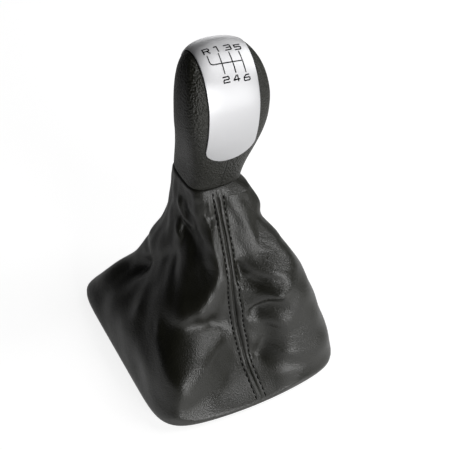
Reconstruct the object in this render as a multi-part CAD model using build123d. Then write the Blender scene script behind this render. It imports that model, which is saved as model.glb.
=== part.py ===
import os
from math import cos, exp, pi, sin

from build123d import *

os.makedirs("parts", exist_ok=True)

# Outline of the boot where it meets the console
base_width = 121.0
base_depth = 124.0
base_squareness = 8.0
front_bow = 6.9

# Boot leather
hem_lift = 4.0
leather = 1.3
hem_turn = 6.5
boot_height = 112.0
neck_tuck = 7.0

# Clip frame under the hem
rim_thickness = 2.0
flange_inset = 9.4
flange_wall = 3.0
clip_width = 9.0
clip_steel = 0.6
clip_reach = 22.0

# Knob
lever_axis_y = 19.7
knob_height = 79.2
skin = 1.4
plate_proud = 0.5
plate_width = 28.8
plate_gap = 0.3
plate_foot = 21.7
plate_foot_drop = 8.0
plate_tail = 9.5
peg_radius = 2.0

# Lever fixing
lever_radius = 6.0
bush_wall = 1.6
bush_depth = 62.0
bush_tail = 24.0
slot_width = 1.6
slot_height = 15.0
tube_wall = 1.8
skirt_wall = 1.9
clamp_height = 7.0
clamp_steel = 0.9
clamp_drop = 10.0

# Worked from the sizes above
collar_z = hem_lift + boot_height
hem_mid_y = front_bow / 2
bush_radius = lever_radius + bush_wall
tube_radius = bush_radius + tube_wall
recess_depth = skin + skirt_wall
neck_inset = recess_depth + 0.25
ring_inset = neck_inset + leather + 0.05
ring_top = collar_z + neck_tuck + 0.4
around = 64
boot_levels = 26


def squared_ring(half_x, front, back, mid, p_front, p_back, count):
    """Points of a squared oval, running round from the middle of the back."""
    points = []
    per_side = count // 4
    for side in range(4):
        for step in range(per_side):
            turn = side + step / per_side
            angle = pi / 2 - turn * pi / 2
            power = p_back if sin(angle) > 0 else p_front
            deep = (back - mid) if sin(angle) > 0 else (mid - front)
            reach = (abs(cos(angle)) ** power + abs(sin(angle)) ** power) ** (-1.0 / power)
            points.append((half_x * reach * cos(angle), mid + deep * reach * sin(angle)))
    return points


# Knob sections from the collar to the crown, sizes from the lever axis:
# share of knob height, front, back, half width, squareness in front and behind
knob_sections = [
    (-0.100, 15.6, 17.3, 15.6, 3.4, 3.2),
    (0.000, 17.2, 17.2, 15.9, 3.4, 3.2),
    (0.075, 18.4, 17.1, 16.2, 3.4, 3.1),
    (0.163, 20.0, 16.8, 17.1, 3.5, 2.8),
    (0.251, 21.6, 16.2, 18.6, 3.8, 2.5),
    (0.351, 23.2, 15.4, 20.4, 4.2, 2.3),
    (0.452, 24.4, 14.8, 22.2, 4.5, 2.2),
    (0.552, 24.8, 14.4, 23.4, 4.6, 2.1),
    (0.652, 24.2, 14.2, 23.8, 4.6, 2.1),
    (0.728, 22.8, 14.0, 23.6, 4.6, 2.1),
    (0.803, 20.2, 13.5, 22.8, 4.4, 2.1),
    (0.866, 17.1, 12.6, 21.4, 4.2, 2.1),
    (0.916, 13.5, 11.0, 19.4, 4.0, 2.1),
    (0.954, 9.6, 9.0, 16.8, 3.6, 2.1),
    (0.979, 6.1, 6.6, 13.2, 3.2, 2.1),
    (0.994, 2.6, 3.8, 7.5, 2.6, 2.1),
    (1.000, 0.2, 1.6, 2.6, 2.1, 2.1),
]
collar_row = knob_sections[1]


def knob_ring(row, grow, lift):
    share, front, back, half_x, p_front, p_back = row
    middle = lever_axis_y - front + 0.36 * (front + back)
    ring = squared_ring(
        half_x + grow,
        lever_axis_y - front - grow,
        lever_axis_y + back + grow,
        middle,
        p_front,
        p_back,
        40,
    )
    height = collar_z + share * knob_height + lift
    return [Vector(x, y, height) for x, y in ring]


def closed_wire(points):
    return Wire([Edge.make_spline(points, periodic=True)])


def knob_form(grow):
    """The knob grown or shrunk square to its own surface."""
    wires = []
    last = len(knob_sections) - 1
    for place, row in enumerate(knob_sections):
        before = knob_sections[max(place - 1, 0)]
        after = knob_sections[min(place + 1, last)]
        rise = (after[0] - before[0]) * knob_height
        close = max(before[3] - after[3], 0.0)
        length = (rise * rise + close * close) ** 0.5
        level = rise / length
        upright = close / length
        if place == last:
            level, upright = 0.0, 1.0
        wires.append(closed_wire(knob_ring(row, grow * level, grow * upright)))
    below = Box(200, 200, 60, align=(Align.CENTER, Align.CENTER, Align.MAX))
    return Solid.make_loft(wires) - Pos(0, 0, collar_z) * below


# Boot leather: share of the way from the neck outline to the hem outline, at
# each height, for front, front right, right, back right, back, back left, left, front left
boot_rows = [
    (0.000, 1.00, 1.00, 1.00, 1.00, 1.00, 1.00, 1.00, 1.00),
    (0.030, 0.99, 1.00, 1.00, 1.00, 1.00, 1.00, 1.00, 1.00),
    (0.098, 0.79, 0.97, 0.98, 0.93, 0.93, 0.88, 0.94, 0.95),
    (0.180, 0.64, 0.93, 0.95, 0.85, 0.83, 0.73, 0.85, 0.88),
    (0.268, 0.54, 0.86, 0.89, 0.72, 0.68, 0.51, 0.64, 0.76),
    (0.384, 0.46, 0.77, 0.78, 0.56, 0.48, 0.34, 0.41, 0.56),
    (0.500, 0.41, 0.67, 0.63, 0.40, 0.32, 0.23, 0.27, 0.42),
    (0.625, 0.33, 0.52, 0.42, 0.26, 0.17, 0.09, 0.12, 0.27),
    (0.750, 0.20, 0.33, 0.22, 0.15, 0.08, 0.02, 0.04, 0.13),
    (0.875, 0.08, 0.17, 0.13, 0.10, 0.05, 0.00, 0.01, 0.06),
    (0.945, 0.02, 0.09, 0.08, 0.06, 0.03, 0.00, 0.00, 0.02),
]


def side_point(half_x, half_y, power, side, t):
    """A point on a squared oval, side 0 in front, then right, back and left; t runs -1 to 1."""
    corner = 0.5 ** (1.0 / power)
    along = t * corner
    across = (1.0 - abs(along) ** power) ** (1.0 / power)
    if side == 0:
        return (along * half_x, -across * half_y)
    if side == 1:
        return (across * half_x, along * half_y)
    if side == 2:
        return (-along * half_x, across * half_y)
    return (-across * half_x, -along * half_y)


def hem_point(side, t, inset):
    x, y = side_point(base_width / 2 - inset, base_depth / 2 - inset, base_squareness, side, t)
    if y < 0:
        y -= front_bow * max(0.0, 1.0 - (2 * x / base_width) ** 2)
    return (x, y + hem_mid_y)


def neck_point(side, t, inset):
    x, y = side_point(collar_row[3] - inset, collar_row[1] - inset, 3.3, side, t)
    return (x, y + lever_axis_y)


# Folds of the draped leather: depth (out is positive), half width, then the line it runs along
# as places round the boot (0 front seam, 1 right, 2 back, -1 left) and shares of the height
boot_folds = [
    (-6.0, 10.0, [(-0.30, 0.66), (-0.55, 0.60), (-0.80, 0.57)]),
    (-5.0, 9.0, [(-0.80, 0.57), (-1.10, 0.45), (-1.40, 0.26)]),
    (4.5, 7.0, [(-0.10, 0.52), (-0.35, 0.47), (-0.68, 0.42)]),
    (-4.5, 5.5, [(-0.10, 0.41), (-0.35, 0.40), (-0.58, 0.36)]),
    (4.0, 8.0, [(0.13, 0.36), (0.16, 0.33)]),
    (-4.0, 5.0, [(0.25, 0.42), (0.28, 0.33), (0.18, 0.24)]),
    (-4.5, 5.0, [(0.06, 0.45), (0.22, 0.49), (0.38, 0.52)]),
    (3.5, 6.0, [(0.42, 0.72), (0.42, 0.55), (0.40, 0.42)]),
    (2.5, 8.0, [(0.60, 0.88), (0.75, 0.84)]),
    (-3.0, 6.0, [(0.50, 0.78), (0.90, 0.76)]),
]


def boot_share(height, side, t):
    """Share of the way out to the hem outline at one place, eased between the table's rows."""
    above = 1
    while above < len(boot_rows) - 1 and boot_rows[above][0] < height:
        above += 1
    low, high = boot_rows[above - 1], boot_rows[above]
    below = boot_rows[max(above - 2, 0)]
    over = boot_rows[min(above + 1, len(boot_rows) - 1)]
    step = high[0] - low[0]
    part = (height - low[0]) / step

    def key_at(key):
        start = (high[key] - below[key]) / max(high[0] - below[0], step) * step
        end = (over[key] - low[key]) / max(over[0] - low[0], step) * step
        rise = high[key] - low[key]
        curve = (3 * rise - 2 * start - end) * part ** 2 + (start + end - 2 * rise) * part ** 3
        return low[key] + start * part + curve

    middle = key_at(1 + 2 * side)
    corner = key_at(1 + (2 * side + 1) % 8) if t > 0 else key_at(1 + (2 * side - 1) % 8)
    return middle + (corner - middle) * (0.5 - 0.5 * cos(pi * abs(t)))


def fold_depth(height, side, t):
    """How far the folds push the leather out at one place."""
    place = side + t / 2
    if place > 2:
        place -= 4
    round_scale = 40.0 + 70.0 * (1.0 - height)
    total = 0.0
    for depth, half_width, line in boot_folds:
        nearest = 1e9
        for (u0, h0), (u1, h1) in zip(line, line[1:]):
            ax, ay = (place - u0) * round_scale, (height - h0) * boot_height
            bx, by = (u1 - u0) * round_scale, (h1 - h0) * boot_height
            along = min(1.0, max(0.0, (ax * bx + ay * by) / (bx * bx + by * by)))
            nearest = min(nearest, (ax - along * bx) ** 2 + (ay - along * by) ** 2)
        total += depth * exp(-nearest / half_width ** 2)
    return total


def round_points(point_at):
    points = []
    for side in range(4):
        for step in range(around // 4):
            points.append(point_at(side, -1 + 8.0 * step / around))
    return points


def half_points(point_at, half):
    """Points of one half of a section, from the front seam round to the back seam."""
    points = []
    steps = around // 4
    for step in range(2 * steps + 1):
        place = step / steps
        side = 0 if place <= 0.5 else (1 if place < 1.5 else 2)
        t = 2 * (place - side)
        if half < 0:
            side, t = (-side) % 4, -t
        spot = point_at(side, t)
        if step == 0 or step == 2 * steps:
            spot = Vector(0, spot.Y, spot.Z)
        points.append(spot)
    return points


def edge_between(face, start, end):
    """The edge of a face that runs between two of its corners."""

    def miss(edge):
        first, last = edge.position_at(0), edge.position_at(1)
        forward = (first - start).length + (last - end).length
        reverse = (first - end).length + (last - start).length
        return min(forward, reverse)

    return min(face.edges(), key=miss)


def end_near(edge, spot):
    return min(edge.position_at(0), edge.position_at(1), key=lambda point: (point - spot).length)


def section_edges(outer, inner, step):
    """One section of a panel's wall: its outside, its back seam, its inside and its front seam."""
    return [
        Edge.make_spline(outer[::step]),
        Edge.make_line(outer[-1], inner[-1]),
        Edge.make_spline(inner[::step]),
        Edge.make_line(outer[0], inner[0]),
    ]


def boot_points(inset, height, half):
    def point_at(side, t):
        hx, hy = hem_point(side, t, inset)
        nx, ny = neck_point(side, t, inset)
        reach = ((hx - nx) ** 2 + (hy - ny) ** 2) ** 0.5
        share = min(1.0, boot_share(height, side, t) + fold_depth(height, side, t) / reach)
        return Vector(nx + (hx - nx) * share, ny + (hy - ny) * share, hem_lift + height * boot_height)

    return half_points(point_at, half)


def neck_points(inset, height, half):
    return half_points(lambda side, t: Vector(*neck_point(side, t, inset), height), half)


def hem_points(inset, height, half):
    return half_points(lambda side, t: Vector(*hem_point(side, t, inset), height), half)


def boot_panel(half):
    """One panel of the boot, from the hem turned under the frame to the neck inside the collar."""
    hem_top = hem_lift + leather
    neck_low = collar_z - 3.2
    first, last = 0.6 * boot_rows[1][0], boot_rows[-1][0]
    sides = []
    for inset in (0.0, leather):
        grid = [hem_points(inset, hem_top, half)]
        for level in range(boot_levels + 1):
            climb = first + (last - first) * (level / boot_levels) ** 1.3
            grid.append(boot_points(inset, climb, half))
        grid.append(neck_points(0.3 + inset, neck_low, half))
        sides.append((grid, Face.make_surface_from_array_of_points(grid, tol=0.02)))
    (outer, outside), (inner, inside) = sides
    rings = []
    for row in (0, -1):
        outer_edge = edge_between(outside, outer[row][0], outer[row][-1])
        inner_edge = edge_between(inside, inner[row][0], inner[row][-1])
        back = Edge.make_line(end_near(outer_edge, outer[row][-1]), end_near(inner_edge, inner[row][-1]))
        front = Edge.make_line(end_near(outer_edge, outer[row][0]), end_near(inner_edge, inner[row][0]))
        rings.append([outer_edge, back, inner_edge, front])
    faces = [outside, inside]
    for end in (0, -1):
        outer_seam = edge_between(outside, outer[0][end], outer[-1][end])
        inner_seam = edge_between(inside, inner[0][end], inner[-1][end])
        faces.append(Face.make_surface_from_curves(outer_seam, inner_seam))
    hem = []
    for height in (hem_lift, hem_top - 0.1):
        hem.append(section_edges(hem_points(0.0, height, half), hem_points(hem_turn, height, half), -1))
    neck = []
    for inset, height in (
        (1.8, collar_z - 1.7),
        (neck_inset, collar_z - 0.7),
        (neck_inset, collar_z + neck_tuck),
    ):
        outer_ring = neck_points(inset, height, half)
        neck.append(section_edges(outer_ring, neck_points(inset + leather, height, half), 1))
    for stack in (hem + rings[:1], rings[1:] + neck):
        for lower, upper in zip(stack, stack[1:]):
            for edge, next_edge in zip(lower, upper):
                faces.append(Face.make_surface_from_curves(edge, next_edge))
    faces.append(Face(Wire(hem[0])))
    faces.append(Face(Wire(neck[-1])))
    return Solid(Shell(faces))


def hem_outline(inset):
    return closed_wire(round_points(lambda side, t: Vector(*hem_point(side, t, inset), 0)))


def neck_outline(inset):
    return closed_wire(round_points(lambda side, t: Vector(*neck_point(side, t, inset), 0)))


def upright(wire, bottom, top):
    face = Face(wire)
    return Pos(0, 0, bottom) * Solid.extrude(face, Vector(0, 0, top - bottom))


def one_solid(shape):
    parts = shape.solids()
    return max(parts, key=lambda item: item.volume)


# Boot panels, sewn together down the front and the back
boot_right_panel = boot_panel(1)
boot_left_panel = boot_panel(-1)

# Clip frame that carries the hem and snaps into the console
rim_bottom = hem_lift + leather + 0.05
rim_top = rim_bottom + rim_thickness
rim_inset = leather + 0.8
inner_inset = flange_inset + flange_wall
rim_step = rim_bottom + rim_thickness * 0.4
rim = upright(hem_outline(rim_inset), rim_bottom, rim_step)
rim = rim + upright(hem_outline(rim_inset + 2.5), rim_bottom, rim_top)
flange = upright(hem_outline(flange_inset), 0, rim_bottom + rim_thickness / 2)
boot_frame = (rim + flange) - upright(hem_outline(inner_inset), -1, rim_top + 1)

flange_in = base_width / 2 - inner_inset
flange_out = base_width / 2 - flange_inset
clip_in = flange_in - 0.05
clip_out = flange_out + 0.05
clip_foot = 0.5
clip_top = hem_lift + 0.6
clips = []
for side in (1, -1):
    for end in (1, -1):
        notch = Box(flange_wall + 2, clip_width + 0.4, 2 * (clip_foot + clip_steel))
        spot = Pos(side * (flange_in + flange_out) / 2, hem_mid_y + end * clip_reach, 0)
        boot_frame = boot_frame - spot * notch
        leg_height = clip_top - clip_foot
        leg = Box(clip_steel, clip_width, leg_height, align=(Align.MIN, Align.CENTER, Align.MIN))
        foot = Box(
            clip_out - clip_in + 2 * clip_steel,
            clip_width,
            clip_steel,
            align=(Align.MIN, Align.CENTER, Align.MIN),
        )
        profile = Polyline(
            (clip_out + clip_steel / 2, clip_foot),
            (clip_out + 1.9, clip_foot + leg_height * 0.65),
            (clip_out + clip_steel / 2, clip_top),
            close=True,
        )
        barb = extrude(Plane.XZ * make_face(profile), amount=clip_width / 2, both=True)
        clip = Pos(clip_in - clip_steel, 0, clip_foot) * leg
        clip = clip + Pos(clip_out, 0, clip_foot) * leg
        clip = clip + Pos(clip_in - clip_steel, 0, clip_foot) * foot
        clip = clip + barb
        if side < 0:
            clip = mirror(clip, about=Plane.YZ)
        clips.append(one_solid(Pos(0, hem_mid_y + end * clip_reach, 0) * clip))
boot_frame = one_solid(boot_frame)
frame_clips = Compound(children=clips)

# Knob: core, grip skin and plate share one form
core_form = knob_form(-skin)
skin_form = knob_form(0.0)
plate_form = knob_form(plate_proud)


def plate_band(gap):
    """Space the plate takes: over the front with a rounded foot, over the crown, short tail behind."""
    half_x = plate_width / 2 + gap
    foot = collar_z + plate_foot - gap
    corner = foot + plate_foot_drop
    top = collar_z + knob_height + 10
    line = Polyline((-half_x, corner), (-half_x, top), (half_x, top), (half_x, corner))
    arc = ThreePointArc((half_x, corner), (0, foot), (-half_x, corner))
    sketch = make_face(line + arc)
    sketch = fillet(sketch.vertices().sort_by(Axis.Y)[:2], 3.5)
    front = Pos(0, lever_axis_y, 0) * extrude(Plane.XZ * sketch, amount=60)
    tail_low = collar_z + knob_height - plate_tail - gap
    tail = Box(2 * half_x, 60, 60, align=(Align.CENTER, Align.MIN, Align.MIN))
    return front + Pos(0, lever_axis_y - 1, tail_low) * tail


shift_plate = (plate_form - core_form) & plate_band(0.0)
grip_skin = (skin_form - core_form) - plate_band(plate_gap)

knob_core = core_form - upright(neck_outline(recess_depth), collar_z - 1, ring_top)
tube_low = collar_z - 6
tube = Cylinder(tube_radius, ring_top - tube_low + 1, align=(Align.CENTER, Align.CENTER, Align.MIN))
knob_core = knob_core + Pos(0, lever_axis_y, tube_low) * tube

bush_low = collar_z - bush_tail
bush_body = Cylinder(bush_radius, bush_depth, align=(Align.CENTER, Align.CENTER, Align.MIN))
bush_spot = Pos(0, lever_axis_y, bush_low)
knob_core = knob_core - bush_spot * bush_body

for peg_share in (0.40, 0.72):
    peg_z = collar_z + peg_share * knob_height
    peg_deep = lever_axis_y - bush_radius - 6
    pin = Cylinder(peg_radius, 60, rotation=(90, 0, 0), align=(Align.CENTER, Align.CENTER, Align.MIN))
    hole = Cylinder(
        peg_radius + 0.1, 60, rotation=(90, 0, 0), align=(Align.CENTER, Align.CENTER, Align.MIN)
    )
    shift_plate = shift_plate + (skin_form & Pos(0, peg_deep, peg_z) * pin)
    knob_core = knob_core - Pos(0, peg_deep + 0.4, peg_z) * hole

knob_core = one_solid(knob_core)
grip_skin = one_solid(grip_skin)
shift_plate = one_solid(shift_plate)

# Steel bush that slides on the lever, split at its tail for the clamp
bore = Cylinder(lever_radius, bush_depth - 3, align=(Align.CENTER, Align.CENTER, Align.MIN))
slot = Box(4 * bush_radius, slot_width, slot_height, align=(Align.CENTER, Align.CENTER, Align.MIN))
lever_bush = bush_body - bore - slot - Rot(0, 0, 90) * slot
lever_bush = one_solid(bush_spot * lever_bush)

# Ring that grips the neck of the boot inside the collar
ring = upright(neck_outline(ring_inset), collar_z + 0.5, ring_top)
ring_hole = Cylinder(tube_radius, 40)
boot_ring = one_solid(ring - Pos(0, lever_axis_y, collar_z) * ring_hole)

# Ear clamp round the split tail
clamp_z = bush_low + clamp_drop - clamp_height
clamp_outer = Cylinder(
    bush_radius + clamp_steel, clamp_height, align=(Align.CENTER, Align.CENTER, Align.MIN)
)
ear = Box(4.0, 3.0, clamp_height, align=(Align.CENTER, Align.MAX, Align.MIN))
clamp = clamp_outer + Pos(0, -bush_radius - 0.2, 0) * ear
clamp = clamp - Cylinder(bush_radius, 4 * clamp_height)
ear_clamp = one_solid(Pos(0, lever_axis_y, clamp_z) * clamp)

export_step(boot_right_panel, "parts/boot_right_panel.step")
export_step(boot_left_panel, "parts/boot_left_panel.step")
export_step(boot_frame, "parts/boot_frame.step")
export_step(frame_clips, "parts/frame_clips.step")
export_step(knob_core, "parts/knob_core.step")
export_step(grip_skin, "parts/grip_skin.step")
export_step(shift_plate, "parts/shift_plate.step")
export_step(lever_bush, "parts/lever_bush.step")
export_step(boot_ring, "parts/boot_ring.step")
export_step(ear_clamp, "parts/ear_clamp.step")
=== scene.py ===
import math

import bmesh
import bpy
import numpy as np
from mathutils import Matrix, Vector


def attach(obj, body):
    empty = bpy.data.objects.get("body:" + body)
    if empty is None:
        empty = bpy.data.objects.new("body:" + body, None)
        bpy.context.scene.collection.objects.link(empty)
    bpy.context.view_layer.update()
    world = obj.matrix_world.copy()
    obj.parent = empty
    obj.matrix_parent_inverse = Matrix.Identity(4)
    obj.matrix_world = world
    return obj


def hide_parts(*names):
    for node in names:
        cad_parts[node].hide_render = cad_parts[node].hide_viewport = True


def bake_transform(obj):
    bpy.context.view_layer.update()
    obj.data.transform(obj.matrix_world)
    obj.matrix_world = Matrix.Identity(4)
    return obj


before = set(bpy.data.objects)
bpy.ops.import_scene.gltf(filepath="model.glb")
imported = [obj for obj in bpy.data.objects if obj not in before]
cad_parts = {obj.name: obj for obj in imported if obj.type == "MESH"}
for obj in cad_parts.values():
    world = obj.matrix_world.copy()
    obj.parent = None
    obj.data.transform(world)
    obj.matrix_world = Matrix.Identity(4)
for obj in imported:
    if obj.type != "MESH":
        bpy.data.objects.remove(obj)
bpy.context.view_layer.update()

print("stage: frame loaded")
scene = bpy.context.scene
mm = 0.001

# camera at the photo's angle
camera = {
    "place": (-0.1899, -0.29435, 0.4097),
    "right": (0.8705, -0.4854, 0.0810),
    "up": (0.2773, 0.6199, 0.7340),
    "back": (-0.4065, -0.6165, 0.6743),
    "lens": 68.0,
    "sensor": 36.0,
    "clip": (0.01, 20.0),
}


def addCamera():
    lens = bpy.data.cameras.new("camera")
    lens.lens = camera["lens"]
    lens.sensor_width = camera["sensor"]
    lens.clip_start, lens.clip_end = camera["clip"]
    eye = bpy.data.objects.new("camera", lens)
    scene.collection.objects.link(eye)
    turn = Matrix((camera["right"], camera["up"], camera["back"])).transposed()
    eye.matrix_world = Matrix.Translation(camera["place"]) @ turn.to_4x4()
    scene.camera = eye


addCamera()


def newMaterial(name, color, rough, metal=0.0):
    material = bpy.data.materials.new(name)
    material.use_nodes = True
    nodes = material.node_tree.nodes
    shader = nodes["Principled BSDF"]
    shader.inputs["Base Color"].default_value = (*color, 1.0)
    shader.inputs["Roughness"].default_value = rough
    shader.inputs["Metallic"].default_value = metal
    return material, nodes, material.node_tree.links, shader


def addNode(nodes, kind, **values):
    node = nodes.new(kind)
    for key, value in values.items():
        if hasattr(node, key):
            setattr(node, key, value)
        else:
            node.inputs[key].default_value = value
    return node


def addRange(nodes, given, wanted, blend="LINEAR"):
    node = addNode(nodes, "ShaderNodeMapRange", interpolation_type=blend)
    node.inputs["From Min"].default_value, node.inputs["From Max"].default_value = given
    node.inputs["To Min"].default_value, node.inputs["To Max"].default_value = wanted
    return node


# pores are finer than the cells by poreScale and count by poreShare
grainLook = {
    "smooth": 0.6, "poreScale": 2.3, "poreShare": 0.5, "poreDetail": 3.0,
    "driftDetail": 4.0, "driftRough": 0.6,
}


def grainGroup():
    group = bpy.data.node_groups.new("surfaceGrain", "ShaderNodeTree")
    face = group.interface
    for way, names in (("INPUT", ("Cells", "Drift")), ("OUTPUT", ("Height", "Patch"))):
        for name in names:
            face.new_socket(name=name, in_out=way, socket_type="NodeSocketFloat")
    nodes, links = group.nodes, group.links
    source = nodes.new("NodeGroupInput")
    sink = nodes.new("NodeGroupOutput")
    place = nodes.new("ShaderNodeTexCoord")
    cells = addNode(nodes, "ShaderNodeTexVoronoi", feature="SMOOTH_F1", Smoothness=grainLook["smooth"])
    pores = addNode(nodes, "ShaderNodeTexNoise", Detail=grainLook["poreDetail"])
    drift = addNode(
        nodes, "ShaderNodeTexNoise",
        Detail=grainLook["driftDetail"], Roughness=grainLook["driftRough"],
    )
    finer = addNode(nodes, "ShaderNodeMath", operation="MULTIPLY")
    finer.inputs[1].default_value = grainLook["poreScale"]
    mix = addNode(nodes, "ShaderNodeMath", operation="MULTIPLY_ADD")
    mix.inputs[1].default_value = grainLook["poreShare"]
    for texture in (cells, pores, drift):
        links.new(place.outputs["Object"], texture.inputs["Vector"])
    links.new(source.outputs["Cells"], cells.inputs["Scale"])
    links.new(source.outputs["Cells"], finer.inputs[0])
    links.new(finer.outputs[0], pores.inputs["Scale"])
    links.new(source.outputs["Drift"], drift.inputs["Scale"])
    links.new(pores.outputs["Fac"], mix.inputs[0])
    links.new(cells.outputs["Distance"], mix.inputs[2])
    links.new(mix.outputs[0], sink.inputs["Height"])
    links.new(drift.outputs["Fac"], sink.inputs["Patch"])
    return group


grain = grainGroup()
noiseSpan = (0.3, 0.7)  # where most of the noise lies

# drift is the tint's gain in the lighter patches; cells and patch are texture scales, bump in metres
leatherLook = {
    "color": (0.0070, 0.0070, 0.0036), "drift": 1.35, "rough": (0.34, 0.44), "metal": 0.0,
    "cells": 1350.0, "patch": 55.0, "bump": 0.00013, "shine": 0.66, "seam": False,
}
gripLook = {
    "color": (0.0092, 0.0092, 0.0050), "drift": 1.3, "rough": (0.38, 0.48), "metal": 0.0,
    "cells": 950.0, "patch": 55.0, "bump": 0.00055, "shine": 0.56, "seam": True,
}
plateLook = {
    "color": (0.67, 0.67, 0.68), "drift": 1.02, "rough": (0.51, 0.56), "metal": 1.0,
    "cells": 3200.0, "patch": 90.0, "bump": 0.000004, "shine": 0.5, "seam": False,
}
inkLook = {
    "color": (0.006, 0.006, 0.007), "drift": 1.5, "rough": (0.72, 0.86), "metal": 0.0,
    "cells": 2400.0, "patch": 400.0, "bump": 0.00002, "shine": 0.1, "seam": False,
}
# near-black sheet round the plate: painted shadow standing in for the shade in the gap between plate
# and grip
shadowSheetLook = {
    "color": (0.004, 0.004, 0.004), "drift": 1.5, "rough": (0.62, 0.78), "metal": 0.0,
    "cells": 1800.0, "patch": 300.0, "bump": 0.00003, "shine": 0.3, "seam": False,
}
threadLook = {
    "color": (0.003, 0.003, 0.003), "drift": 1.8, "rough": (0.82, 0.94), "metal": 0.0,
    "cells": 3600.0, "patch": 500.0, "bump": 0.00008, "shine": 0.1, "seam": False,
}
frameLook = {
    "color": (0.015, 0.015, 0.016), "drift": 1.3, "rough": (0.44, 0.56), "metal": 0.0,
    "cells": 1600.0, "patch": 70.0, "bump": 0.00006, "shine": 0.5, "seam": False,
}
coreLook = {
    "color": (0.02, 0.02, 0.02), "drift": 1.3, "rough": (0.46, 0.58), "metal": 0.0,
    "cells": 1400.0, "patch": 60.0, "bump": 0.00005, "shine": 0.5, "seam": False,
}
springLook = {
    "color": (0.55, 0.56, 0.58), "drift": 1.12, "rough": (0.24, 0.38), "metal": 1.0,
    "cells": 2200.0, "patch": 220.0, "bump": 0.000006, "shine": 0.5, "seam": False,
}
bushLook = {
    "color": (0.48, 0.48, 0.50), "drift": 1.15, "rough": (0.28, 0.44), "metal": 1.0,
    "cells": 1800.0, "patch": 160.0, "bump": 0.000010, "shine": 0.5, "seam": False,
}
gripSeam = {"edges": (0.00012, 0.0005), "depth": -2.5, "frontOf": 0.012}


# groove down the front of the knob, added to the grain's height
def seamLine(nodes, links, height):
    place = nodes.new("ShaderNodeTexCoord")
    split = nodes.new("ShaderNodeSeparateXYZ")
    side = addNode(nodes, "ShaderNodeMath", operation="ABSOLUTE")
    line = addRange(nodes, gripSeam["edges"], (gripSeam["depth"], 0.0), "SMOOTHSTEP")
    front = addNode(nodes, "ShaderNodeMath", operation="LESS_THAN")
    front.inputs[1].default_value = gripSeam["frontOf"]
    cut = addNode(nodes, "ShaderNodeMath", operation="MULTIPLY")
    total = addNode(nodes, "ShaderNodeMath", operation="ADD")
    links.new(place.outputs["Object"], split.inputs[0])
    links.new(split.outputs["X"], side.inputs[0])
    links.new(side.outputs[0], line.inputs["Value"])
    links.new(split.outputs["Y"], front.inputs[0])
    links.new(line.outputs["Result"], cut.inputs[0])
    links.new(front.outputs[0], cut.inputs[1])
    links.new(height, total.inputs[0])
    links.new(cut.outputs[0], total.inputs[1])
    return total.outputs[0]


def grainMaterial(name, look):
    color, rough = look["color"], look["rough"]
    material, nodes, links, shader = newMaterial(name, color, rough[0], look["metal"])
    shader.inputs["Specular IOR Level"].default_value = look["shine"]
    wear = addNode(nodes, "ShaderNodeGroup", node_tree=grain)
    wear.inputs["Cells"].default_value = look["cells"]
    wear.inputs["Drift"].default_value = look["patch"]
    bump = addNode(nodes, "ShaderNodeBump", Strength=1.0, Distance=look["bump"])
    height = wear.outputs["Height"]
    if look["seam"]:
        height = seamLine(nodes, links, height)
    links.new(height, bump.inputs["Height"])
    links.new(bump.outputs["Normal"], shader.inputs["Normal"])
    roughness = addRange(nodes, noiseSpan, rough)
    links.new(wear.outputs["Patch"], roughness.inputs["Value"])
    links.new(roughness.outputs["Result"], shader.inputs["Roughness"])
    tint = addNode(nodes, "ShaderNodeMix", data_type="RGBA")
    tint.inputs[6].default_value = (*color, 1.0)
    tint.inputs[7].default_value = (*(c * look["drift"] for c in color), 1.0)
    share = addRange(nodes, noiseSpan, (0.0, 1.0))
    links.new(wear.outputs["Patch"], share.inputs["Value"])
    links.new(share.outputs["Result"], tint.inputs[0])
    links.new(tint.outputs[2], shader.inputs["Base Color"])
    return material


leather = grainMaterial("bootLeather", leatherLook)
gripBlack = grainMaterial("gripBlack", gripLook)
silver = grainMaterial("plateSilver", plateLook)
printInk = grainMaterial("printInk", inkLook)
paintedShadow = grainMaterial("paintedShadow", shadowSheetLook)
thread = grainMaterial("thread", threadLook)
framePlastic = grainMaterial("framePlastic", frameLook)
corePlastic = grainMaterial("corePlastic", coreLook)
springSteel = grainMaterial("springSteel", springLook)
bushSteel = grainMaterial("bushSteel", bushLook)
print("stage: materials made")


# pieces are built in mm and scaled here
def toObject(name, bm, material):
    bmesh.ops.scale(bm, vec=(mm, mm, mm), verts=bm.verts)
    mesh = bpy.data.meshes.new(name)
    bm.to_mesh(mesh)
    bm.free()
    mesh.materials.append(material)
    mesh.polygons.foreach_set("use_smooth", [True] * len(mesh.polygons))
    thing = bpy.data.objects.new(name, mesh)
    scene.collection.objects.link(thing)
    return thing


def getPlaces(bm):
    return np.array([v.co[:] for v in bm.verts], float)


def setPlaces(bm, places):
    for vert, place in zip(bm.verts, places):
        vert.co = place


def tube(segments, rings):
    bm = bmesh.new()
    bmesh.ops.create_cone(
        bm, cap_ends=False, segments=segments, radius1=1.0, radius2=1.0, depth=2.0
    )
    upright = [e for e in bm.edges if abs(e.verts[0].co.z - e.verts[1].co.z) > 1.0]
    bmesh.ops.subdivide_edges(bm, edges=upright, cuts=rings - 2)
    return bm


# knob form in mm; the centre is where the plate's angles are measured, reach is past the surface
knob = {
    "axisY": 19.7, "collar": 116.0, "height": 79.2, "centreY": 15.0, "centreZ": 160.0,
    "widest": 0.36, "reach": 70.0, "normalStep": 0.25, "samples": 641, "crownSlope": 50,
}
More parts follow.
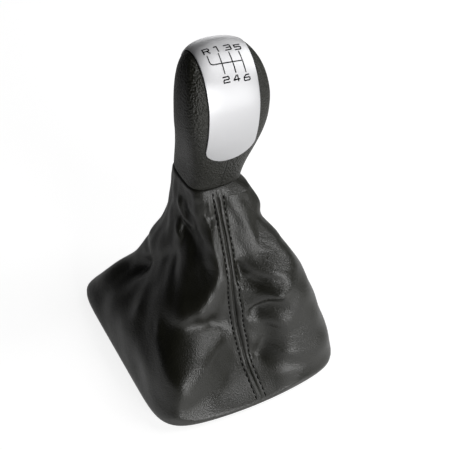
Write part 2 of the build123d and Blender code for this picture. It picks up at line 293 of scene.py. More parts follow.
# share of height, front, back, half width, squareness in front and behind
knobRows = np.array([
    (-0.100, 15.6, 17.3, 15.6, 3.4, 3.2),
    (0.000, 17.2, 17.2, 15.9, 3.4, 3.2),
    (0.075, 18.4, 17.1, 16.2, 3.4, 3.1),
    (0.163, 20.0, 16.8, 17.1, 3.5, 2.8),
    (0.251, 21.6, 16.2, 18.6, 3.8, 2.5),
    (0.351, 23.2, 15.4, 20.4, 4.2, 2.3),
    (0.452, 24.4, 14.8, 22.2, 4.5, 2.2),
    (0.552, 24.8, 14.4, 23.4, 4.6, 2.1),
    (0.652, 24.2, 14.2, 23.8, 4.6, 2.1),
    (0.728, 22.8, 14.0, 23.6, 4.6, 2.1),
    (0.803, 20.2, 13.5, 22.8, 4.4, 2.1),
    (0.866, 17.1, 12.6, 21.4, 4.2, 2.1),
    (0.916, 13.5, 11.0, 19.4, 4.0, 2.1),
    (0.954, 9.6, 9.0, 16.8, 3.6, 2.1),
    (0.979, 6.1, 6.6, 13.2, 3.2, 2.1),
    (0.994, 2.6, 3.8, 7.5, 2.6, 2.1),
    (1.000, 0.2, 1.6, 2.6, 2.1, 2.1),
])
halvings = 36  # steps of each search on the knob


# smooth curve through the rows
def knobRowAt(spot):
    last = len(knobRows) - 1
    spot = np.clip(np.asarray(spot, float), 0, last)
    low = np.minimum(spot.astype(int), last - 1)
    part = (spot - low)[..., None]
    p1, p2 = knobRows[low], knobRows[low + 1]
    p0, p3 = knobRows[np.maximum(low - 1, 0)], knobRows[np.minimum(low + 2, last)]
    square = 2 * p0 - 5 * p1 + 4 * p2 - p3
    cube = 3 * p1 - p0 - 3 * p2 + p3
    return 0.5 * (2 * p1 + (p2 - p0) * part + square * part**2 + cube * part**3)


knobTable = knobRowAt(np.linspace(0, len(knobRows) - 1, knob["samples"]))


# the widest place of a row, and how deep the row is before and behind it
def rowDepths(front, back):
    mid = knob["axisY"] - front + knob["widest"] * (front + back)
    return mid, mid - knob["axisY"] + front, knob["axisY"] + back - mid


# below zero inside the knob
def knobField(p):
    share = (p[:, 2] - knob["collar"]) / knob["height"]
    columns = (np.interp(share, knobTable[:, 0], knobTable[:, i]) for i in range(1, 6))
    front, back, half, powFront, powBack = columns
    mid, before, behind = rowDepths(front, back)
    away = p[:, 1] - mid
    deep = np.where(away > 0, behind, before)
    power = np.where(away > 0, powBack, powFront)
    value = (np.abs(p[:, 0]) / half) ** power + (np.abs(away) / deep) ** power - 1
    return np.where(share > 1, 1 + knob["crownSlope"] * (share - 1), value)


def knobNormal(spots):
    slope = np.zeros_like(spots)
    for axis in range(3):
        shift = np.zeros(3)
        shift[axis] = knob["normalStep"]
        slope[:, axis] = knobField(spots + shift) - knobField(spots - shift)
    return slope / np.maximum(np.linalg.norm(slope, axis=1), 1e-9)[:, None]


# surface at x and an angle up from the front
def onKnob(x, angle, proud=0.0):
    centreY, centreZ = np.full_like(x, knob["centreY"]), np.full_like(x, knob["centreZ"])
    start = np.stack([x, centreY, centreZ], 1)
    way = np.stack([np.zeros_like(x), -np.cos(angle), np.sin(angle)], 1)
    near, far = np.zeros_like(x), np.full_like(x, knob["reach"])
    for step in range(halvings):
        middle = (near + far) / 2
        inside = knobField(start + middle[:, None] * way) < 0
        near, far = np.where(inside, middle, near), np.where(inside, far, middle)
    spots = start + near[:, None] * way
    if proud:
        spots = spots + proud * knobNormal(spots)
    return spots


# lip: steps inward and up where the skin turns under at the collar
skinMesh = {"segments": 128, "rings": 110, "lip": ((0.35, -0.25), (1.2, 0.15), (0.4, 2.5))}


def buildGrip():
    bm = tube(skinMesh["segments"], skinMesh["rings"])
    flat = getPlaces(bm)
    level = (flat[:, 2] + 1) / 2
    angle = np.arctan2(flat[:, 1], flat[:, 0])
    row = knobRowAt(1.0 + level * (len(knobRows) - 2))  # from the collar up
    front, back, half = row[:, 1], row[:, 2], row[:, 3]
    mid, before, behind = rowDepths(front, back)
    isBack = np.sin(angle) > 0
    power = np.where(isBack, row[:, 5], row[:, 4])
    deep = np.where(isBack, behind, before)
    reach = (np.abs(np.cos(angle)) ** power + np.abs(np.sin(angle)) ** power) ** (-1 / power)
    x, y = half * reach * np.cos(angle), mid + deep * reach * np.sin(angle)
    setPlaces(bm, np.stack([x, y, knob["collar"] + row[:, 0] * knob["height"]], 1))
    rim = [e for e in bm.edges if e.is_boundary and e.verts[0].co.z > knob["centreZ"]]
    bmesh.ops.holes_fill(bm, edges=rim, sides=0)
    low = [e for e in bm.edges if e.is_boundary]
    for inward, rise in skinMesh["lip"]:
        made = bmesh.ops.extrude_edge_only(bm, edges=low)["geom"]
        low = [g for g in made if isinstance(g, bmesh.types.BMEdge)]
        verts = [g for g in made if isinstance(g, bmesh.types.BMVert)]
        for vert in verts:
            away = Vector((vert.co.x, vert.co.y - knob["axisY"], 0)).normalized()
            vert.co = vert.co - away * inward + Vector((0, 0, rise))
    bmesh.ops.recalc_face_normals(bm, faces=bm.faces)
    return toObject("gripSkin", bm, gripBlack)


gripSkin = buildGrip()
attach(gripSkin, "knob")
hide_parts("grip_skin")
print("stage: grip skin")

# sizes in mm; the angles bound the search for the plate's two ends
plate = {
    "half": 14.4, "foot": 137.7, "rise": 8.0, "corner": 1.8, "tail": 185.7,
    "proud": 0.5, "bevel": 0.6, "drop": 1.2, "mesh": (44, 130),
    "footAngles": (-1.2, 1.2), "tailAngles": (2.9, 1.75), "steps": 30,
}


# the foot is an arc with rounded corners
def footHeight(x, grow):
    half = plate["half"]
    radius = (half**2 + plate["rise"] ** 2) / (2 * plate["rise"])
    rise = radius - np.sqrt(np.maximum(radius**2 - x**2, 0.0))
    r = plate["corner"]
    over = np.clip(np.abs(x) - (half + grow - r), 0, r)
    return plate["foot"] - grow + rise + r - np.sqrt(np.maximum(r**2 - over**2, 0.0))


def angleAtHeight(x, height, low, high):
    near, far = np.full_like(x, low), np.full_like(x, high)
    for step in range(plate["steps"]):
        middle = (near + far) / 2
        below = onKnob(x, middle)[:, 2] < height
        near, far = np.where(below, middle, near), np.where(below, far, middle)
    return (near + far) / 2


def plateSheet(grow, proud, across, along):
    bm = bmesh.new()
    bmesh.ops.create_grid(bm, x_segments=across, y_segments=along, size=1.0)
    flat = getPlaces(bm)
    columns = np.unique(flat[:, 0].round(6))
    xs = columns * (plate["half"] + grow)
    starts = angleAtHeight(xs, footHeight(xs, grow), *plate["footAngles"])
    tails = angleAtHeight(xs, np.full_like(xs, plate["tail"] - grow), *plate["tailAngles"])
    x = flat[:, 0] * (plate["half"] + grow)
    start = np.interp(flat[:, 0], columns, starts)
    tail = np.interp(flat[:, 0], columns, tails)
    angle = start + (tail - start) * (flat[:, 1] + 1) / 2
    setPlaces(bm, onKnob(x, angle, proud))
    return bm


def buildPlate():
    bm = plateSheet(0.0, plate["proud"], *plate["mesh"])
    bm.normal_update()
    rim = [e for e in bm.edges if e.is_boundary]
    made = bmesh.ops.extrude_edge_only(bm, edges=rim)["geom"]
    lower = [g for g in made if isinstance(g, bmesh.types.BMVert)]
    spots = np.array([v.co[:] for v in lower], float)
    sunk = spots - plate["drop"] * knobNormal(spots)
    for vert, place in zip(lower, sunk):
        vert.co = place
    bmesh.ops.recalc_face_normals(bm, faces=bm.faces)
    bmesh.ops.bevel(
        bm, geom=rim, offset=plate["bevel"], segments=3, profile=0.5,
        affect="EDGES", material=-1, clamp_overlap=True,
    )
    return toObject("shiftPlate", bm, silver)


shiftPlate = buildPlate()
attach(shiftPlate, "knob")
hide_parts("shift_plate")

# black sheet a little wider than the plate, lying just above the skin: painted shadow of the gap round
# the plate
shadowSheet = {"grow": 0.5, "proud": 0.06, "mesh": (30, 100)}  # dark line round the plate
plateShadowSheet = toObject("plateShadowSheet", plateSheet(shadowSheet["grow"], shadowSheet["proud"], *shadowSheet["mesh"]), paintedShadow)
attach(plateShadowSheet, "knob")
print("stage: plate")

# sizes in mm; points of the gate are x and length along the plate
pattern = {
    "line": 0.55, "lift": 0.06, "digitWide": 3.1, "digitTall": 2.7, "digitLine": 0.62,
    "down": 2.0, "step": 0.5, "angles": (-0.4, 2.4), "samples": 1401,
}
gate = [
    [(-8.9, 49.2), (-8.95, 46.0), (-8.75, 45.1), (-8.2, 44.55), (-7.4, 44.3), (8.2, 43.4)],
    [(-2.75, 49.2), (-3.0, 39.0)],
    [(2.85, 48.8), (2.95, 38.5)],
    [(8.15, 48.2), (8.4, 37.6)],
]
# strokes of each sign in a unit box
signs = {
    "R": [
        [(-0.5, -0.5), (-0.5, 0.5), (0.35, 0.5), (0.5, 0.35), (0.5, 0.1), (0.35, -0.02), (-0.5, -0.02)],
        [(0.1, -0.02), (0.5, -0.5)],
    ],
    "1": [[(-0.3, 0.5), (0.15, 0.5), (0.15, -0.5)]],
    "2": [[
        (-0.5, 0.5), (0.35, 0.5), (0.5, 0.38), (0.5, 0.12), (0.35, 0.0),
        (-0.35, 0.0), (-0.5, -0.12), (-0.5, -0.5), (0.5, -0.5),
    ]],
    "3": [
        [(-0.5, 0.5), (0.35, 0.5), (0.5, 0.38), (0.5, -0.38), (0.35, -0.5), (-0.5, -0.5)],
        [(-0.2, 0.0), (0.5, 0.0)],
    ],
    "4": [[(0.0, 0.5), (-0.5, -0.2), (0.5, -0.2)], [(0.25, 0.5), (0.25, -0.5)]],
    "5": [[
        (0.5, 0.5), (-0.5, 0.5), (-0.5, 0.05), (0.35, 0.05),
        (0.5, -0.08), (0.5, -0.38), (0.35, -0.5), (-0.5, -0.5),
    ]],
    "6": [[
        (0.4, 0.5), (-0.1, 0.5), (-0.5, 0.1), (-0.5, -0.38), (-0.35, -0.5),
        (0.35, -0.5), (0.5, -0.38), (0.5, -0.1), (0.35, 0.02), (-0.45, 0.02),
    ]],
}
signPlaces = {
    "R": (-8.3, 51.8), "1": (-2.6, 51.8), "3": (3.4, 51.4), "5": (8.5, 50.6),
    "2": (-2.9, 36.0), "4": (2.7, 35.6), "6": (8.3, 34.9),
}


# length along the knob's front against the angle
def profileTable():
    angles = np.linspace(*pattern["angles"], pattern["samples"])
    spots = onKnob(np.zeros_like(angles), angles)
    steps = np.linalg.norm(np.diff(spots, axis=0), axis=1)
    return np.concatenate([[0.0], np.cumsum(steps)]), angles


profileLength, profileAngle = profileTable()


def strokeStrip(bm, line, wide):
    line = np.array(line, float)
    for start, end in zip(line, line[1:]):
        length = np.linalg.norm(end - start)
        way = (end - start) / length
        side = np.array([-way[1], way[0]])
        count = max(2, int(length / pattern["step"]))
        made = bmesh.ops.create_grid(bm, x_segments=count, y_segments=1, size=1.0)["verts"]
        for vert in made:
            along = (vert.co.x + 1) / 2 * (length + wide) - wide / 2
            flat = start + way * along + side * vert.co.y * wide / 2
            vert.co = (flat[0], flat[1], 0.0)


def buildPattern():
    bm = bmesh.new()
    for line in gate:
        strokeStrip(bm, line, pattern["line"])
    wide, tall = pattern["digitWide"], pattern["digitTall"]
    for name, strokes in signs.items():
        cx, cs = signPlaces[name]
        for stroke in strokes:
            line = [(cx + px * wide, cs + py * tall) for px, py in stroke]
            strokeStrip(bm, line, pattern["digitLine"])
    flat = getPlaces(bm)
    angle = np.interp(flat[:, 1] - pattern["down"], profileLength, profileAngle)
    setPlaces(bm, onKnob(flat[:, 0], angle, plate["proud"] + pattern["lift"]))
    return toObject("shiftPattern", bm, printInk)


shiftPattern = buildPattern()
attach(shiftPattern, "knob")
print("stage: pattern")

# sizes in mm; first to last is the share of height between hem and collar, closed is where
# the leather lies against the neck, and the runs are the lengths over which folds fade
boot = {
    "wide": 121.0, "deep": 124.0, "square": 8.0, "bow": 6.9, "lift": 4.0, "height": 112.0,
    "turn": 6.5, "neckX": 15.9, "neckY": 17.2, "neckSquare": 3.3,
    "first": 0.022, "last": 0.945, "closed": 0.97, "closeRun": 0.025,
    "fadeFrom": 0.02, "fadeRun": 0.06, "fadeTop": 0.05,
}
# share of height, then share of the way out to the hem:
# front, front right, right, back right, back, back left, left, front left
bootRows = np.array([
    (0.000, 1.00, 1.00, 1.00, 1.00, 1.00, 1.00, 1.00, 1.00),
    (0.030, 0.99, 1.00, 1.00, 1.00, 1.00, 1.00, 1.00, 1.00),
    (0.098, 0.79, 0.97, 0.98, 0.93, 0.93, 0.88, 0.94, 0.95),
    (0.180, 0.64, 0.93, 0.95, 0.85, 0.83, 0.73, 0.85, 0.88),
    (0.268, 0.54, 0.86, 0.89, 0.72, 0.68, 0.51, 0.64, 0.76),
    (0.384, 0.46, 0.77, 0.78, 0.56, 0.48, 0.34, 0.41, 0.56),
    (0.500, 0.41, 0.67, 0.63, 0.40, 0.32, 0.23, 0.27, 0.42),
    (0.625, 0.33, 0.52, 0.42, 0.26, 0.17, 0.09, 0.12, 0.27),
    (0.750, 0.20, 0.33, 0.22, 0.15, 0.08, 0.02, 0.04, 0.13),
    (0.875, 0.08, 0.17, 0.13, 0.10, 0.05, 0.00, 0.01, 0.06),
    (0.945, 0.02, 0.09, 0.08, 0.06, 0.03, 0.00, 0.00, 0.02),
])
# depth in mm (out is positive), half width left and right of the line, sharpness, the line.
# A point of the line: place round the boot (0 front seam, 1 right, 2 back, -1 left),
# share of height, and share of the depth where that isn't 1
bootFolds = [
    (-3.5, 12.0, 12.0, 2.0, [(-0.58, 0.88), (-0.56, 0.74)]),
    (-9.0, 16.0, 16.0, 2.0, [(-0.52, 0.66), (-0.56, 0.52)]),
    (-4.0, 7.0, 7.0, 2.0, [(-0.75, 0.55), (-0.92, 0.50), (-1.12, 0.42), (-1.28, 0.33)]),
    (-3.5, 9.0, 9.0, 2.0, [(-1.28, 0.33), (-1.40, 0.26)]),
    (2.4, 10.0, 3.4, 1.6, [(-0.50, 0.93), (-0.47, 0.86), (-0.40, 0.78), (-0.28, 0.745)]),
    (-2.0, 3.2, 4.5, 1.8, [(-0.27, 0.72), (-0.33, 0.69), (-0.42, 0.67)]),
    (3.8, 10.0, 6.0, 1.7, [
        (-0.25, 0.71), (-0.165, 0.645), (-0.17, 0.60), (-0.22, 0.555), (-0.29, 0.505),
        (-0.37, 0.465), (-0.50, 0.43), (-0.65, 0.41), (-0.80, 0.37), (-0.95, 0.29),
    ]),
    (-6.8, 4.2, 6.5, 1.9, [
        (-0.05, 0.325, 0.0), (-0.14, 0.335, 0.45), (-0.25, 0.345, 0.9),
        (-0.40, 0.35), (-0.56, 0.34, 0.75), (-0.70, 0.305, 0.25),
    ]),
    (2.2, 7.0, 7.0, 2.0, [(-0.43, 0.22, 0.6), (-0.31, 0.265), (-0.12, 0.29, 0.6)]),
    (1.2, 4.0, 4.0, 1.6, [(-0.68, 0.32), (-0.60, 0.27), (-0.50, 0.22)]),
    (2.2, 9.0, 4.5, 1.6, [(-0.45, 0.22), (-0.46, 0.15), (-0.46, 0.05)]),
    (-1.4, 6.0, 6.0, 2.0, [(-0.40, 0.09), (-0.20, 0.11), (-0.04, 0.12)]),
    (-2.4, 6.0, 4.0, 1.8, [(0.42, 0.90), (0.43, 0.82), (0.38, 0.74), (0.30, 0.67)]),
    (2.5, 8.0, 8.0, 2.0, [(0.62, 0.88), (0.75, 0.84)]),
    (-3.0, 6.0, 6.0, 2.0, [(0.55, 0.78), (0.90, 0.76)]),
    (-3.0, 4.0, 2.8, 1.7, [(0.10, 0.62), (0.11, 0.565), (0.18, 0.55), (0.26, 0.55)]),
    (1.2, 3.4, 3.4, 1.7, [(0.06, 0.525), (0.18, 0.52), (0.25, 0.525)]),
    (3.0, 7.0, 3.4, 1.6, [
        (0.0, 0.385, 0.2), (0.06, 0.41, 0.8), (0.11, 0.43), (0.19, 0.48), (0.26, 0.52, 0.8),
    ]),
    (-4.2, 3.6, 4.8, 1.8, [
        (0.06, 0.375, 0.0), (0.12, 0.395, 0.7), (0.18, 0.415), (0.24, 0.45), (0.30, 0.475, 0.2),
    ]),
    (4.2, 9.5, 9.5, 2.0, [(0.09, 0.34), (0.08, 0.26)]),
    (-3.0, 3.6, 5.0, 1.8, [(0.20, 0.31), (0.185, 0.25), (0.14, 0.19), (0.10, 0.15)]),
    (6.0, 10.0, 6.0, 1.8, [
        (0.34, 0.68, 0.3), (0.31, 0.62, 0.9), (0.28, 0.55), (0.27, 0.50),
        (0.25, 0.41), (0.235, 0.33), (0.235, 0.27, 0.8), (0.22, 0.21, 0.4),
    ]),
    (3.0, 11.0, 7.0, 1.8, [(0.22, 0.17), (0.18, 0.10)]),
]
# finer wrinkles
fineFolds = [
    (-1.2, 2.0, 2.0, 1.6, [(0.12, 0.615), (0.22, 0.585), (0.30, 0.575)]),
    (-1.0, 2.0, 2.0, 1.6, [(-0.10, 0.86), (-0.20, 0.85), (-0.28, 0.87)]),
    (-1.1, 2.4, 2.4, 1.6, [(-0.90, 0.88), (-0.70, 0.82), (-0.55, 0.80)]),
    (-1.2, 2.2, 2.2, 1.6, [(-0.85, 0.76), (-0.66, 0.72), (-0.52, 0.70)]),
    (1.2, 2.6, 2.6, 1.6, [(-0.95, 0.84), (-0.70, 0.77), (-0.55, 0.76)]),
    (1.0, 2.2, 2.2, 1.6, [(-0.90, 0.70), (-0.72, 0.67)]),
    (-1.0, 2.2, 2.2, 1.6, [(0.36, 0.74), (0.50, 0.68), (0.62, 0.66)]),
    (-1.2, 3.0, 3.0, 1.6, [(1.30, 0.62), (1.55, 0.50), (1.75, 0.46)]),
    (1.2, 3.4, 3.4, 1.6, [(1.25, 0.55), (1.55, 0.43), (1.80, 0.40)]),
    (-1.2, 3.0, 3.0, 1.6, [(-1.70, 0.55), (-1.50, 0.46), (-1.30, 0.44)]),
    (-1.4, 3.4, 3.4, 1.6, [(0.80, 0.60), (1.00, 0.52), (1.20, 0.50)]),
    (1.2, 3.4, 3.4, 1.6, [(0.75, 0.52), (0.98, 0.44), (1.15, 0.42)]),
]


# point of a squared oval, by side and place on it from -1 to 1
def sidePoint(halfX, halfY, power, side, t):
    along = t * 0.5 ** (1.0 / power)
    across = (1.0 - np.abs(along) ** power) ** (1.0 / power)
    x = np.choose(side, [along * halfX, across * halfX, -along * halfX, -across * halfX])
    y = np.choose(side, [-across * halfY, along * halfY, across * halfY, -along * halfY])
    return x, y


def sideOf(u):
    near = np.round(u).astype(int)
    return near % 4, 2 * (u - near)


def hemPoint(u, inset):
    side, t = sideOf(u)
    halfX, halfY = boot["wide"] / 2 - inset, boot["deep"] / 2 - inset
    x, y = sidePoint(halfX, halfY, boot["square"], side, t)
    y = np.where(y < 0, y - boot["bow"] * np.maximum(0, 1 - (2 * x / boot["wide"]) ** 2), y)
    return x, y + boot["bow"] / 2


def neckPoint(u, inset):
    side, t = sideOf(u)
    halfX, halfY = boot["neckX"] - inset, boot["neckY"] - inset
    x, y = sidePoint(halfX, halfY, boot["neckSquare"], side, t)
    return x, y + knob["axisY"]


# smooth curve through bootRows by height, then from mid-side to corner
def shareAt(u, h):
    side, t = sideOf(u)
    heights = bootRows[:, 0]
    last = len(heights) - 1
    above = np.clip(np.searchsorted(heights, h), 1, last)
    low, high = bootRows[above - 1], bootRows[above]
    below, over = bootRows[np.maximum(above - 2, 0)], bootRows[np.minimum(above + 1, last)]
    step = (high[:, 0] - low[:, 0])[:, None]
    part = (h - low[:, 0])[:, None] / step
    start = (high - below) / np.maximum(high[:, :1] - below[:, :1], step) * step
    end = (over - low) / np.maximum(over[:, :1] - low[:, :1], step) * step
    rise = high - low
    square, cube = 3 * rise - 2 * start - end, start + end - 2 * rise
    keys = low + start * part + square * part**2 + cube * part**3
    pick = np.arange(len(u))
    middle = keys[pick, 1 + 2 * side]
    right, left = keys[pick, 1 + (2 * side + 1) % 8], keys[pick, 1 + (2 * side - 1) % 8]
    corner = np.where(t > 0, right, left)
    return middle + (corner - middle) * (0.5 - 0.5 * np.cos(math.pi * np.abs(t)))


# mm round the boot for one side, at the neck and how much more at the hem; soft rounds a fold's line
foldScale = {"neck": 40.0, "hem": 70.0, "soft": 0.35}


def foldDepth(u, h, folds):
    scale = foldScale["neck"] + foldScale["hem"] * (1.0 - h)
    total = np.zeros_like(u)
    for depth, left, right, sharp, line in folds:
        nearest = np.full_like(u, 1e9)
        half, deep = np.full_like(u, left), np.ones_like(u)
        line = [(*point, 1.0)[:3] for point in line]
        for (u0, h0, d0), (u1, h1, d1) in zip(line, line[1:]):
            ax, ay = (u - u0) * scale, (h - h0) * boot["height"]
            bx, by = (u1 - u0) * scale, (h1 - h0) * boot["height"]
            along = np.clip((ax * bx + ay * by) / (bx * bx + by * by), 0, 1)
            away = np.hypot(ax - along * bx, ay - along * by)
            turn = (bx * ay - by * ax) / np.hypot(bx, by) / np.maximum(away, 1e-6)
            mix = 0.5 + 0.5 * np.clip(turn, -1, 1)
            closer = away < nearest
            half = np.where(closer, right + (left - right) * mix * mix * (3 - 2 * mix), half)
            deep = np.where(closer, d0 + (d1 - d0) * along, deep)
            nearest = np.where(closer, away, nearest)
        soft = np.sqrt(nearest**2 + foldScale["soft"] ** 2) - foldScale["soft"]
        total += depth * deep * np.exp(-((soft / half) ** sharp))
    return total


# slight unevenness all over, in mm
ripple = {
    "height": 0.22, "waves": 14, "short": 9.0, "long": 30.0, "seed": 7, "radius": 60.0, "phase": 6.3,
}


def rippleDepth(u, h):
    chance = np.random.default_rng(ripple["seed"])
    across, along = np.sin(u * math.pi / 2) * ripple["radius"], h * boot["height"]
    behind = np.cos(u * math.pi / 2) * ripple["radius"]
    total = np.zeros_like(u)
    for wave in range(ripple["waves"]):
        way = chance.normal(size=3)
        length = chance.uniform(ripple["short"], ripple["long"])
        way = way / np.linalg.norm(way) * 2 * math.pi / length
        phase = chance.uniform(0, ripple["phase"])
        total += np.sin(across * way[0] + behind * way[1] + along * way[2] + phase)
    return ripple["height"] * total / math.sqrt(ripple["waves"] / 2)


# seam, the leather's swell beside it and the groove under each row of stitches, in mm;
# neck and hem: mm round the boot for one side at the neck, and how much more at the hem
seam = {
    "depth": 0.8, "half": 0.5, "pillow": 0.3, "pillowHalf": 1.0, "row": 3.0,
    "groove": 0.35, "grooveHalf": 0.5, "neck": 25.8, "hem": 85.2,
}
# the front seam stands a little to the left, most at mid height
sway = {
    "across": -1.6, "from": 0.10, "run": 0.25, "more": 0.6, "mid": 0.50, "half": 0.17, "wide": 0.3,
}


def seamScale(h):
    return seam["neck"] + seam["hem"] * shareAt(np.zeros_like(h), h)


def seamDepth(u, h):
    scale = seamScale(h)
    total = np.zeros_like(u)
    for middle in (0.0, 2.0):
        away = np.abs(np.abs(u) - middle) * scale
        pillowAway, grooveAway = away - seam["row"] * 0.5, away - seam["row"]
        total -= seam["depth"] * np.exp(-((away / seam["half"]) ** 2))
        total += seam["pillow"] * np.exp(-((pillowAway / seam["pillowHalf"]) ** 2))
        total -= seam["groove"] * np.exp(-((grooveAway / seam["grooveHalf"]) ** 2))
    return total


def seamSway(u, h):
    rise = np.clip((h - sway["from"]) / sway["run"], 0, 1)
    swell = sway["more"] * np.exp(-(((h - sway["mid"]) / sway["half"]) ** 2))
    more = rise * rise * (3 - 2 * rise) + swell
    return sway["across"] * more * np.exp(-((u / sway["wide"]) ** 2))


def bootPoint(u, h):
    hx, hy = hemPoint(u, 0.0)
    nx, ny = neckPoint(u, 0.0)
    reach = np.hypot(hx - nx, hy - ny)
    fade = np.clip((h - boot["fadeFrom"]) / boot["fadeRun"], 0, 1)
    fade = fade * np.clip((boot["closed"] - h) / boot["fadeTop"], 0, 1)
    fine = foldDepth(u, h, fineFolds) + rippleDepth(u, h) + seamDepth(u, h)
    push = foldDepth(u, h, bootFolds) + fade * fine
    share = np.minimum(1.0, shareAt(u, np.minimum(h, boot["last"])) + push / reach)
    share = share * np.clip((boot["closed"] - h) / boot["closeRun"], 0, 1)
    x, y = nx + (hx - nx) * share, ny + (hy - ny) * share
    x = x + seamSway(u, h)
    return np.stack([x, y, boot["lift"] + h * boot["height"]], 1)


# gather crowds the columns at the front seam; split is where the two sheets meet
bootMesh = {"segments": 320, "rows": 150, "gather": 0.72, "split": 0.50}
# inset and rise in mm of the rings turned under at the hem and tucked into the collar
hemRings = [(boot["turn"], 0.0), (3.0, 0.0), (1.1, 0.05), (0.35, 0.4), (0.0, 1.1)]
neckRings = [
    (0.1, -3.4), (0.4, -2.6), (1.0, -1.9), (2.0, -1.3), (3.0, -0.9), (3.55, -0.5), (3.55, 7.0),
]


def bootGrid():
    below, rows = len(hemRings), bootMesh["rows"]
    rings = below + rows + len(neckRings)
    bm = tube(bootMesh["segments"], rings)
    flat = getPlaces(bm)
    ring = np.round((flat[:, 2] + 1) / 2 * (rings - 1)).astype(int)
    s = np.arctan2(flat[:, 0], -flat[:, 1]) / (math.pi / 2)
    u = s - bootMesh["gather"] / math.pi * np.sin(math.pi * s)
    u = np.clip(u, -2.0, 2.0)
    spots = np.zeros_like(flat)
    first, last = boot["first"], boot["last"]
    h = first + (last - first) * (ring - below) / (rows - 1)
    body = (ring >= below) & (ring < below + rows)
    spots[body] = bootPoint(u[body], np.clip(h[body], first, last))
    for place, (inset, rise) in enumerate(hemRings):
        pick = ring == place
        x, y = hemPoint(u[pick], inset)
        spots[pick] = np.stack([x, y, np.full_like(x, boot["lift"] + rise)], 1)
    for place, (inset, rise) in enumerate(neckRings):
        pick = ring == below + rows + place
        x, y = neckPoint(u[pick], inset)
        x = x + seamSway(u[pick], np.full_like(x, last))
        spots[pick] = np.stack([x, y, np.full_like(x, knob["collar"] + rise)], 1)
    setPlaces(bm, spots)
    bmesh.ops.recalc_face_normals(bm, faces=bm.faces)
    bm.normal_update()
    keep = bm.verts.layers.float_vector.new("wholeNormal")
    for vert in bm.verts:
        vert[keep] = vert.normal
    return bm


# one sheet of the boot, shaded with the whole boot's normals so that the split doesn't show
def bootPart(bm, name, above):
    level = boot["lift"] + bootMesh["split"] * boot["height"]
    heights = sorted({round(v.co.z, 4) for v in bm.verts})
    cut = min(heights, key=lambda z: abs(z - level))
    part = bm.copy()
    gone = [f for f in part.faces if (f.calc_center_median().z > cut) != above]
    bmesh.ops.delete(part, geom=gone, context="FACES")
    thing = toObject(name, part, leather)
    normals = np.zeros(len(thing.data.vertices) * 3)
    thing.data.attributes["wholeNormal"].data.foreach_get("vector", normals)
    thing.data.normals_split_custom_set_from_vertices(normals.reshape(-1, 3).tolist())
    thing.data.attributes.remove(thing.data.attributes["wholeNormal"])
    return thing


def meshArea(thing):
    return sum(p.area for p in thing.data.polygons)


wholeBoot = bootGrid()
bootSkirt = bootPart(wholeBoot, "bootSkirt", False)
bootNeck = bootPart(wholeBoot, "bootNeck", True)
wholeBoot.free()
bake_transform(bootSkirt)
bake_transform(bootNeck)
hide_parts("boot_left_panel", "boot_right_panel")
print("stage: boot", round(meshArea(bootSkirt), 5), round(meshArea(bootNeck), 5))

# stitches down both sides of the seams, in mm; rows: shares of height that they run between,
# ends: bare length at the hem and at the collar, probe: step to find the leather's slope
stitch = {
    "length": 2.4, "step": 3.4, "radius": 0.36, "lift": 0.10,
    "rows": (0.03, 0.968), "samples": 800, "ends": (2.0, 0.8), "probe": (0.01, 0.006),
}


def rowPlaces(middle, side):
    hs = np.linspace(*stitch["rows"], stitch["samples"])
    us = side * seam["row"] / seamScale(hs)
    if middle:
        us = np.where(us > 0, -middle + us, middle + us)
    steps = np.linalg.norm(np.diff(bootPoint(us, hs), axis=0), axis=1)
    lengths = np.concatenate([[0.0], np.cumsum(steps)])
    low, high = stitch["ends"]
    picks = np.arange(low, lengths[-1] - high, stitch["step"])
    return np.interp(picks, lengths, us), np.interp(picks, lengths, hs)


def buildStitches(name, above):
    bm = bmesh.new()
    du, dh = stitch["probe"]
    form = Matrix.Diagonal((stitch["radius"], stitch["radius"], stitch["length"] / 2, 1))
    for middle in (0.0, 2.0):
        for side in (-1, 1):
            us, hs = rowPlaces(middle, side)
            centre = bootPoint(us, hs)
            upper = bootPoint(us, hs + dh) - bootPoint(us, hs - dh)
            across = bootPoint(us + du, hs) - bootPoint(us - du, hs)
            for h, place, along, wide in zip(hs, centre, upper, across):
                if (h > bootMesh["split"]) != above:
                    continue
                z = Vector(along).normalized()
                out = Vector(wide).cross(z).normalized()
                x = out.cross(z).normalized()
                turn = Matrix((x, out, z)).transposed().to_4x4()
                spot = Matrix.Translation(Vector(place) + out * stitch["lift"]) @ turn @ form
                bmesh.ops.create_uvsphere(bm, u_segments=8, v_segments=6, radius=1.0, matrix=spot)
    return toObject(name, bm, thread)


skirtStitches = buildStitches("skirtStitches", False)
neckStitches = buildStitches("neckStitches", True)
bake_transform(skirtStitches)
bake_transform(neckStitches)
print("stage: stitches")

# inner CAD pieces keep their shape
for node, material in (
    ("boot_frame", framePlastic),
    ("frame_clips", springSteel),
    ("knob_core", corePlastic),
    ("lever_bush", bushSteel),
    ("boot_ring", corePlastic),
    ("ear_clamp", springSteel),
):
    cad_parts[node].data.materials.clear()
    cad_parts[node].data.materials.append(material)
# name, place, aim, size, power
lights = [
    ("softbox", (0.62, -0.28, 0.84), (0.0, 0.0, 0.12), 0.56, 4.5),
    ("key", (0.14, -1.05, 0.39), (0.0, 0.0, 0.10), 0.50, 6.2),
    ("top", (0.60, 0.40, 0.86), (0.0, 0.0, 0.15), 0.55, 1.3),
    ("back", (0.50, 1.00, 0.26), (0.0, 0.0, 0.18), 0.50, 1.5),
]


def addLights():
    for name, place, aim, size, power in lights:
        lamp = bpy.data.lights.new(name, "AREA")
        lamp.shape = "DISK"
        lamp.size = size
        lamp.energy = power
        thing = bpy.data.objects.new(name, lamp)
        thing.visible_camera = False
        scene.collection.objects.link(thing)
        turn = (Vector(aim) - Vector(place)).to_track_quat("-Z", "Y").to_matrix()
        thing.matrix_world = Matrix.Translation(place) @ turn.to_4x4()


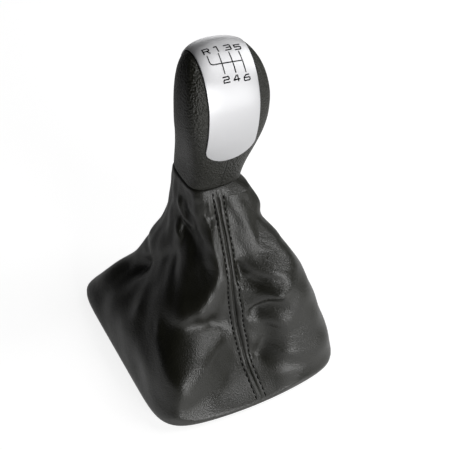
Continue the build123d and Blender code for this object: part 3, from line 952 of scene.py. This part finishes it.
# mirrored: brightness that the part reflects near the pool and far from it
floorLook = {
    "color": (0.35, 0.35, 0.35), "rough": 0.9, "size": 6.0, "glow": 0.86,
    "mirrored": (0.92, 0.16), "pool": (0.22, -0.55, 0.0), "fade": (0.45, 0.85),
}


def mirrorRay(nodes, links, path):
    mirrored = addNode(nodes, "ShaderNodeMath", operation="MAXIMUM")
    links.new(path.outputs["Is Glossy Ray"], mirrored.inputs[0])
    links.new(path.outputs["Is Transmission Ray"], mirrored.inputs[1])
    return mirrored.outputs[0]


def addFloor():
    bm = bmesh.new()
    bmesh.ops.create_grid(bm, x_segments=1, y_segments=1, size=floorLook["size"])
    mesh = bpy.data.meshes.new("floor")
    bm.to_mesh(mesh)
    bm.free()
    floor = bpy.data.objects.new("floor", mesh)
    scene.collection.objects.link(floor)
    pale, nodes, links, shader = newMaterial("floorPale", floorLook["color"], floorLook["rough"])
    shader.inputs["Specular IOR Level"].default_value = 0.0
    shader.inputs["Emission Strength"].default_value = floorLook["glow"]
    path = nodes.new("ShaderNodeLightPath")
    place = nodes.new("ShaderNodeTexCoord")
    away = addNode(nodes, "ShaderNodeVectorMath", operation="DISTANCE")
    away.inputs[1].default_value = floorLook["pool"]
    pool = addRange(nodes, floorLook["fade"], floorLook["mirrored"], "SMOOTHSTEP")
    dimmed = addNode(nodes, "ShaderNodeMath", operation="MULTIPLY")
    seen = addNode(nodes, "ShaderNodeMath", operation="MAXIMUM")
    links.new(place.outputs["Object"], away.inputs[0])
    links.new(away.outputs["Value"], pool.inputs["Value"])
    links.new(mirrorRay(nodes, links, path), dimmed.inputs[0])
    links.new(pool.outputs["Result"], dimmed.inputs[1])
    links.new(path.outputs["Is Camera Ray"], seen.inputs[0])
    links.new(dimmed.outputs[0], seen.inputs[1])
    links.new(seen.outputs[0], shader.inputs["Emission Color"])
    mesh.materials.append(pale)


# white to the camera; reflections see a band at the horizon, all else the fill
worldLook = {"fill": 0.02, "band": 0.06, "bandTop": 0.30}


def addWorld():
    world = bpy.data.worlds.new("studio")
    scene.world = world
    world.use_nodes = True
    nodes, links = world.node_tree.nodes, world.node_tree.links
    ground = nodes["Background"]
    ground.inputs["Color"].default_value = (1, 1, 1, 1)
    path = nodes.new("ShaderNodeLightPath")
    place = nodes.new("ShaderNodeTexCoord")
    split = nodes.new("ShaderNodeSeparateXYZ")
    fill = worldLook["fill"]
    band = addRange(nodes, (0.0, worldLook["bandTop"]), (worldLook["band"], fill), "SMOOTHSTEP")
    glow = addNode(nodes, "ShaderNodeMix", data_type="FLOAT")
    glow.inputs[2].default_value = fill
    seen = addNode(nodes, "ShaderNodeMath", operation="MAXIMUM")
    links.new(place.outputs["Generated"], split.inputs[0])
    links.new(split.outputs["Z"], band.inputs["Value"])
    links.new(mirrorRay(nodes, links, path), glow.inputs[0])
    links.new(band.outputs["Result"], glow.inputs[3])
    links.new(glow.outputs[0], seen.inputs[0])
    links.new(path.outputs["Is Camera Ray"], seen.inputs[1])
    links.new(seen.outputs[0], ground.inputs["Strength"])


addLights()
addFloor()
addWorld()
scene.view_settings.view_transform = "Standard"
print("stage: light and floor")
